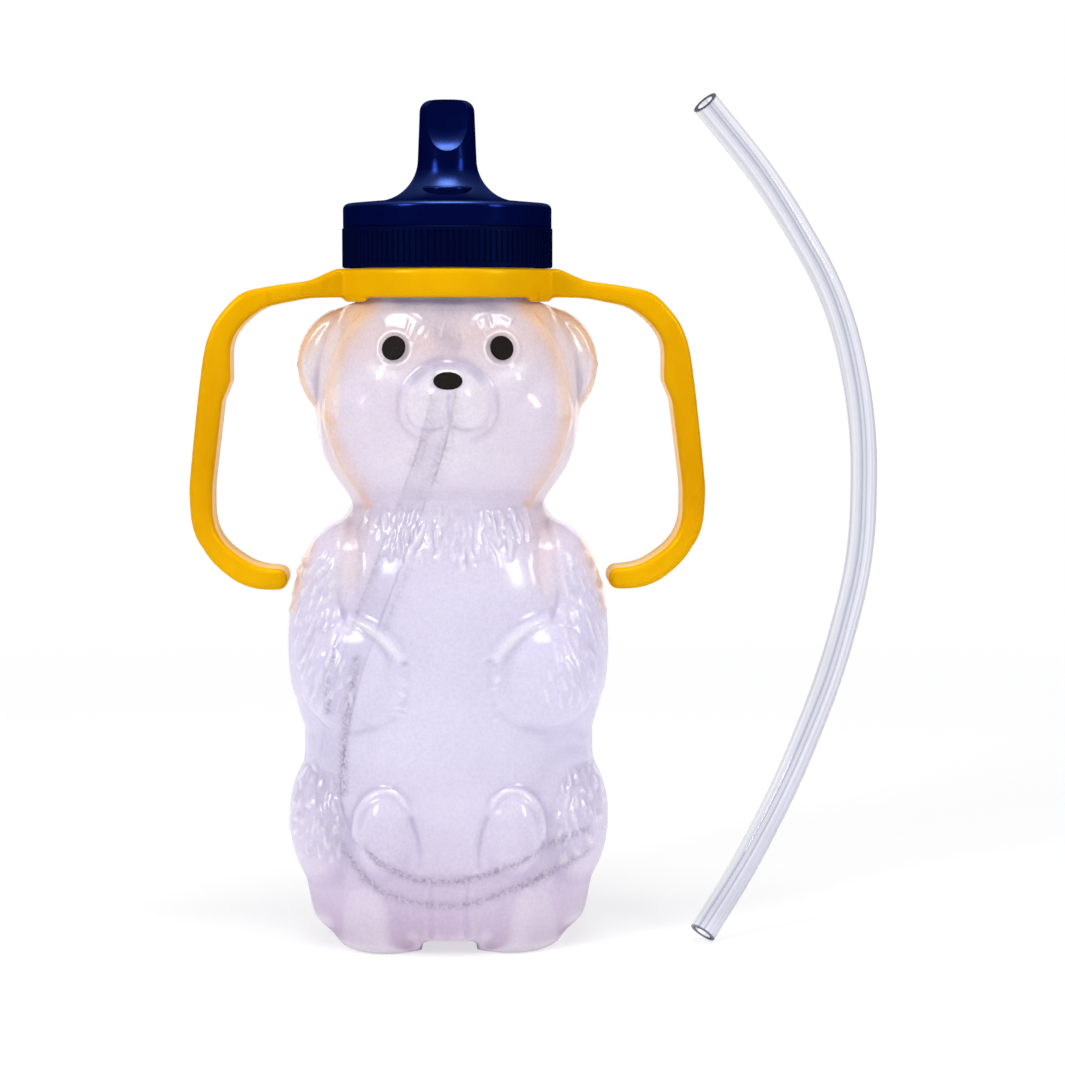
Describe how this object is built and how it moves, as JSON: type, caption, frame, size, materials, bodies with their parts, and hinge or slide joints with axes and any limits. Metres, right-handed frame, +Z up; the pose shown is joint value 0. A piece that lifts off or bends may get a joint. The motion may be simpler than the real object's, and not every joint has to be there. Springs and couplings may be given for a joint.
{
  "type": "honey bear drinking bottle",
  "caption": "Bear-shaped squeeze bottle with a two-handled collar, a screw cap with a flip-up cover over a straw spout, and a spare curved tube.",
  "frame": {"origin": "centre of the neck axis on the plane that the bottle stands on", "axes": "+Z up along the neck axis, -Y towards the bear's face, +X towards the bear's left side as seen from the front, where the spare tube stands"},
  "size_m": [0.1399, 0.0541, 0.1696],
  "materials": {
    "milky_ldpe": "translucent satin, blow moulded",
    "yellow_plastic": "satin",
    "navy_cap": "satin",
    "blue_cover": "gloss",
    "white_liner": "soft",
    "soft_spout": "translucent silicone",
    "clear_tube": "clear flexible vinyl",
    "black_print": "satin print"
  },
  "bodies": {
    "bottle": {"bear_bottle": "milky_ldpe", "eye_left": "black_print", "eye_right": "black_print", "nose": "black_print"},
    "handles": {"handle_collar": "yellow_plastic"},
    "tube": {"drinking_tube": "clear_tube"},
    "cap": {"cap_body": "navy_cap", "cap_liner": "white_liner", "drinking_spout": "soft_spout"},
    "cover": {"flip_cover": "blue_cover"},
    "spare": {"spare_tube": "clear_tube"}
  },
  "joints": [
    {"name": "handle_swivel", "type": "hinge", "parent": "bottle", "child": "handles", "pos_m": [0, 0, 0.1323], "axis": [0, 0, 1], "continuous": true},
    {"name": "cap_rise", "type": "slide", "parent": "bottle", "child": "tube", "axis": [0, 0, 1], "range_m": [0, 0.0043]},
    {"name": "cap_turn", "type": "hinge", "parent": "tube", "child": "cap", "pos_m": [0, 0, 0.139], "axis": [0, 0, 1], "range_deg": [0, 360]},
    {"name": "cover_hinge", "type": "hinge", "parent": "cap", "child": "cover", "pos_m": [0, 0.0234, 0.1435], "axis": [-1, 0, 0], "range_deg": [0, 140]},
    {"name": "spare_tube_lift", "type": "slide", "parent": "bottle", "child": "spare", "axis": [0, 0, 1], "range_m": [0, 0.05]}
  ],
  "couplings": [
    {"joint": "cap_rise", "follows": "cap_turn", "m_per_rad": 0.00067323}
  ]
}
